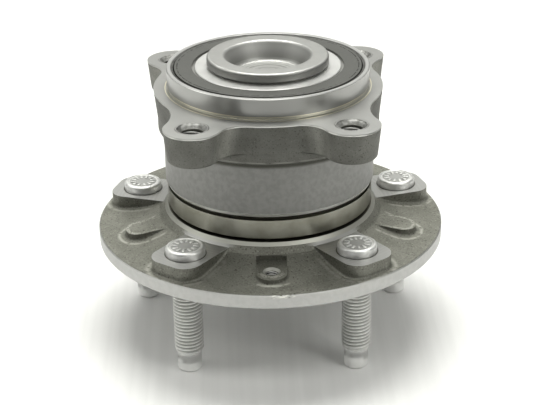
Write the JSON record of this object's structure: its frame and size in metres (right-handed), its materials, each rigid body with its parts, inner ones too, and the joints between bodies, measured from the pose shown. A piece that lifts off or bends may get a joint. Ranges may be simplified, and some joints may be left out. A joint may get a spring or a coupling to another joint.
{
  "type": "wheel hub bearing",
  "caption": "Flanged wheel hub on pressed studs that spins on ball rows inside an eared stationary ring, with seals and a speed-sensor encoder face.",
  "frame": {"origin": "centre of the wheel stud circle, on the face the wheel sits on", "axes": "+Z along the spin axis, inboard to the knuckle; the ears are mirror images across X = 0"},
  "size_m": [0.1444, 0.1444, 0.1179],
  "materials": {
    "hub_steel": "forged, with machined pads, rim and lip",
    "outer_ring_steel": "forged, with turned body and pilot",
    "bearing_steel": "ground",
    "stud_steel": "zinc-flake coated",
    "sleeve_steel": "polished sheet",
    "seal_sheet": "pressed sheet",
    "encoder_rubber": "matte",
    "seal_rubber": "matte",
    "cage_plastic": "matte"
  },
  "bodies": {
    "outer_ring": {"outer_ring": "outer_ring_steel", "inboard_seal_case": "seal_sheet", "inboard_seal_lip": "seal_rubber", "outboard_seal_case": "seal_sheet", "outboard_seal_lip": "seal_rubber", "outboard_seal_sleeve": "sleeve_steel"},
    "hub": {"hub": "hub_steel", "wheel_stud_1": "stud_steel", "wheel_stud_2": "stud_steel", "wheel_stud_3": "stud_steel", "wheel_stud_4": "stud_steel", "wheel_stud_5": "stud_steel", "inner_ring": "bearing_steel", "inboard_slinger": "seal_sheet", "encoder_ring": "encoder_rubber"},
    "cage_outboard": {"cage_outboard": "cage_plastic"},
    "cage_inboard": {"cage_inboard": "cage_plastic"},
    "ball_outboard_01": {"ball_outboard_01": "bearing_steel"},
    "ball_outboard_02": {"ball_outboard_02": "bearing_steel"},
    "ball_outboard_03": {"ball_outboard_03": "bearing_steel"},
    "ball_outboard_04": {"ball_outboard_04": "bearing_steel"},
    "ball_outboard_05": {"ball_outboard_05": "bearing_steel"},
    "ball_outboard_06": {"ball_outboard_06": "bearing_steel"},
    "ball_outboard_07": {"ball_outboard_07": "bearing_steel"},
    "ball_outboard_08": {"ball_outboard_08": "bearing_steel"},
    "ball_outboard_09": {"ball_outboard_09": "bearing_steel"},
    "ball_outboard_10": {"ball_outboard_10": "bearing_steel"},
    "ball_outboard_11": {"ball_outboard_11": "bearing_steel"},
    "ball_outboard_12": {"ball_outboard_12": "bearing_steel"},
    "ball_outboard_13": {"ball_outboard_13": "bearing_steel"},
    "ball_inboard_01": {"ball_inboard_01": "bearing_steel"},
    "ball_inboard_02": {"ball_inboard_02": "bearing_steel"},
    "ball_inboard_03": {"ball_inboard_03": "bearing_steel"},
    "ball_inboard_04": {"ball_inboard_04": "bearing_steel"},
    "ball_inboard_05": {"ball_inboard_05": "bearing_steel"},
    "ball_inboard_06": {"ball_inboard_06": "bearing_steel"},
    "ball_inboard_07": {"ball_inboard_07": "bearing_steel"},
    "ball_inboard_08": {"ball_inboard_08": "bearing_steel"},
    "ball_inboard_09": {"ball_inboard_09": "bearing_steel"},
    "ball_inboard_10": {"ball_inboard_10": "bearing_steel"},
    "ball_inboard_11": {"ball_inboard_11": "bearing_steel"},
    "ball_inboard_12": {"ball_inboard_12": "bearing_steel"},
    "ball_inboard_13": {"ball_inboard_13": "bearing_steel"}
  },
  "joints": [
    {"name": "hub_spin", "type": "hinge", "parent": "outer_ring", "child": "hub", "pos_m": [0, 0, 0.046], "axis": [0, 0, 1], "continuous": true},
    {"name": "cage_outboard_turn", "type": "hinge", "parent": "outer_ring", "child": "cage_outboard", "pos_m": [0, 0, 0.0324], "axis": [0, 0, 1], "continuous": true},
    {"name": "ball_outboard_01_roll", "type": "hinge", "parent": "cage_outboard", "child": "ball_outboard_01", "pos_m": [0, -0.0313, 0.0324], "axis": [0, 0.6157, 0.788], "continuous": true},
    {"name": "ball_outboard_02_roll", "type": "hinge", "parent": "cage_outboard", "child": "ball_outboard_02", "pos_m": [0.01455, -0.02771, 0.0324], "axis": [-0.2861, 0.5451, 0.788], "continuous": true},
    {"name": "ball_outboard_03_roll", "type": "hinge", "parent": "cage_outboard", "child": "ball_outboard_03", "pos_m": [0.02576, -0.01778, 0.0324], "axis": [-0.5067, 0.3497, 0.788], "continuous": true},
    {"name": "ball_outboard_04_roll", "type": "hinge", "parent": "cage_outboard", "child": "ball_outboard_04", "pos_m": [0.03107, -0.00377, 0.0324], "axis": [-0.6112, 0.0742, 0.788], "continuous": true},
    {"name": "ball_outboard_05_roll", "type": "hinge", "parent": "cage_outboard", "child": "ball_outboard_05", "pos_m": [0.02927, 0.0111, 0.0324], "axis": [-0.5757, -0.2183, 0.788], "continuous": true},
    {"name": "ball_outboard_06_roll", "type": "hinge", "parent": "cage_outboard", "child": "ball_outboard_06", "pos_m": [0.02076, 0.02343, 0.0324], "axis": [-0.4083, -0.4608, 0.788], "continuous": true},
    {"name": "ball_outboard_07_roll", "type": "hinge", "parent": "cage_outboard", "child": "ball_outboard_07", "pos_m": [0.00749, 0.03039, 0.0324], "axis": [-0.1473, -0.5978, 0.788], "continuous": true},
    {"name": "ball_outboard_08_roll", "type": "hinge", "parent": "cage_outboard", "child": "ball_outboard_08", "pos_m": [-0.00749, 0.03039, 0.0324], "axis": [0.1473, -0.5978, 0.788], "continuous": true},
    {"name": "ball_outboard_09_roll", "type": "hinge", "parent": "cage_outboard", "child": "ball_outboard_09", "pos_m": [-0.02076, 0.02343, 0.0324], "axis": [0.4083, -0.4608, 0.788], "continuous": true},
    {"name": "ball_outboard_10_roll", "type": "hinge", "parent": "cage_outboard", "child": "ball_outboard_10", "pos_m": [-0.02927, 0.0111, 0.0324], "axis": [0.5757, -0.2183, 0.788], "continuous": true},
    {"name": "ball_outboard_11_roll", "type": "hinge", "parent": "cage_outboard", "child": "ball_outboard_11", "pos_m": [-0.03107, -0.00377, 0.0324], "axis": [0.6112, 0.0742, 0.788], "continuous": true},
    {"name": "ball_outboard_12_roll", "type": "hinge", "parent": "cage_outboard", "child": "ball_outboard_12", "pos_m": [-0.02576, -0.01778, 0.0324], "axis": [0.5067, 0.3497, 0.788], "continuous": true},
    {"name": "ball_outboard_13_roll", "type": "hinge", "parent": "cage_outboard", "child": "ball_outboard_13", "pos_m": [-0.01455, -0.02771, 0.0324], "axis": [0.2861, 0.5451, 0.788], "continuous": true},
    {"name": "cage_inboard_turn", "type": "hinge", "parent": "outer_ring", "child": "cage_inboard", "pos_m": [0, 0, 0.0596], "axis": [0, 0, 1], "continuous": true},
    {"name": "ball_inboard_01_roll", "type": "hinge", "parent": "cage_inboard", "child": "ball_inboard_01", "pos_m": [0, -0.0313, 0.0596], "axis": [0, -0.6157, 0.788], "continuous": true},
    {"name": "ball_inboard_02_roll", "type": "hinge", "parent": "cage_inboard", "child": "ball_inboard_02", "pos_m": [0.01455, -0.02771, 0.0596], "axis": [0.2861, -0.5451, 0.788], "continuous": true},
    {"name": "ball_inboard_03_roll", "type": "hinge", "parent": "cage_inboard", "child": "ball_inboard_03", "pos_m": [0.02576, -0.01778, 0.0596], "axis": [0.5067, -0.3497, 0.788], "continuous": true},
    {"name": "ball_inboard_04_roll", "type": "hinge", "parent": "cage_inboard", "child": "ball_inboard_04", "pos_m": [0.03107, -0.00377, 0.0596], "axis": [0.6112, -0.0742, 0.788], "continuous": true},
    {"name": "ball_inboard_05_roll", "type": "hinge", "parent": "cage_inboard", "child": "ball_inboard_05", "pos_m": [0.02927, 0.0111, 0.0596], "axis": [0.5757, 0.2183, 0.788], "continuous": true},
    {"name": "ball_inboard_06_roll", "type": "hinge", "parent": "cage_inboard", "child": "ball_inboard_06", "pos_m": [0.02076, 0.02343, 0.0596], "axis": [0.4083, 0.4608, 0.788], "continuous": true},
    {"name": "ball_inboard_07_roll", "type": "hinge", "parent": "cage_inboard", "child": "ball_inboard_07", "pos_m": [0.00749, 0.03039, 0.0596], "axis": [0.1473, 0.5978, 0.788], "continuous": true},
    {"name": "ball_inboard_08_roll", "type": "hinge", "parent": "cage_inboard", "child": "ball_inboard_08", "pos_m": [-0.00749, 0.03039, 0.0596], "axis": [-0.1473, 0.5978, 0.788], "continuous": true},
    {"name": "ball_inboard_09_roll", "type": "hinge", "parent": "cage_inboard", "child": "ball_inboard_09", "pos_m": [-0.02076, 0.02343, 0.0596], "axis": [-0.4083, 0.4608, 0.788], "continuous": true},
    {"name": "ball_inboard_10_roll", "type": "hinge", "parent": "cage_inboard", "child": "ball_inboard_10", "pos_m": [-0.02927, 0.0111, 0.0596], "axis": [-0.5757, 0.2183, 0.788], "continuous": true},
    {"name": "ball_inboard_11_roll", "type": "hinge", "parent": "cage_inboard", "child": "ball_inboard_11", "pos_m": [-0.03107, -0.00377, 0.0596], "axis": [-0.6112, -0.0742, 0.788], "continuous": true},
    {"name": "ball_inboard_12_roll", "type": "hinge", "parent": "cage_inboard", "child": "ball_inboard_12", "pos_m": [-0.02576, -0.01778, 0.0596], "axis": [-0.5067, -0.3497, 0.788], "continuous": true},
    {"name": "ball_inboard_13_roll", "type": "hinge", "parent": "cage_inboard", "child": "ball_inboard_13", "pos_m": [-0.01455, -0.02771, 0.0596], "axis": [-0.2861, -0.5451, 0.788], "continuous": true}
  ],
  "couplings": [
    {"joint": "cage_outboard_turn", "follows": "hub_spin", "ratio": 0.42007},
    {"joint": "ball_outboard_01_roll", "follows": "hub_spin", "ratio": -2.4016},
    {"joint": "ball_outboard_02_roll", "follows": "hub_spin", "ratio": -2.4016},
    {"joint": "ball_outboard_03_roll", "follows": "hub_spin", "ratio": -2.4016},
    {"joint": "ball_outboard_04_roll", "follows": "hub_spin", "ratio": -2.4016},
    {"joint": "ball_outboard_05_roll", "follows": "hub_spin", "ratio": -2.4016},
    {"joint": "ball_outboard_06_roll", "follows": "hub_spin", "ratio": -2.4016},
    {"joint": "ball_outboard_07_roll", "follows": "hub_spin", "ratio": -2.4016},
    {"joint": "ball_outboard_08_roll", "follows": "hub_spin", "ratio": -2.4016},
    {"joint": "ball_outboard_09_roll", "follows": "hub_spin", "ratio": -2.4016},
    {"joint": "ball_outboard_10_roll", "follows": "hub_spin", "ratio": -2.4016},
    {"joint": "ball_outboard_11_roll", "follows": "hub_spin", "ratio": -2.4016},
    {"joint": "ball_outboard_12_roll", "follows": "hub_spin", "ratio": -2.4016},
    {"joint": "ball_outboard_13_roll", "follows": "hub_spin", "ratio": -2.4016},
    {"joint": "cage_inboard_turn", "follows": "hub_spin", "ratio": 0.42007},
    {"joint": "ball_inboard_01_roll", "follows": "hub_spin", "ratio": -2.4016},
    {"joint": "ball_inboard_02_roll", "follows": "hub_spin", "ratio": -2.4016},
    {"joint": "ball_inboard_03_roll", "follows": "hub_spin", "ratio": -2.4016},
    {"joint": "ball_inboard_04_roll", "follows": "hub_spin", "ratio": -2.4016},
    {"joint": "ball_inboard_05_roll", "follows": "hub_spin", "ratio": -2.4016},
    {"joint": "ball_inboard_06_roll", "follows": "hub_spin", "ratio": -2.4016},
    {"joint": "ball_inboard_07_roll", "follows": "hub_spin", "ratio": -2.4016},
    {"joint": "ball_inboard_08_roll", "follows": "hub_spin", "ratio": -2.4016},
    {"joint": "ball_inboard_09_roll", "follows": "hub_spin", "ratio": -2.4016},
    {"joint": "ball_inboard_10_roll", "follows": "hub_spin", "ratio": -2.4016},
    {"joint": "ball_inboard_11_roll", "follows": "hub_spin", "ratio": -2.4016},
    {"joint": "ball_inboard_12_roll", "follows": "hub_spin", "ratio": -2.4016},
    {"joint": "ball_inboard_13_roll", "follows": "hub_spin", "ratio": -2.4016}
  ]
}
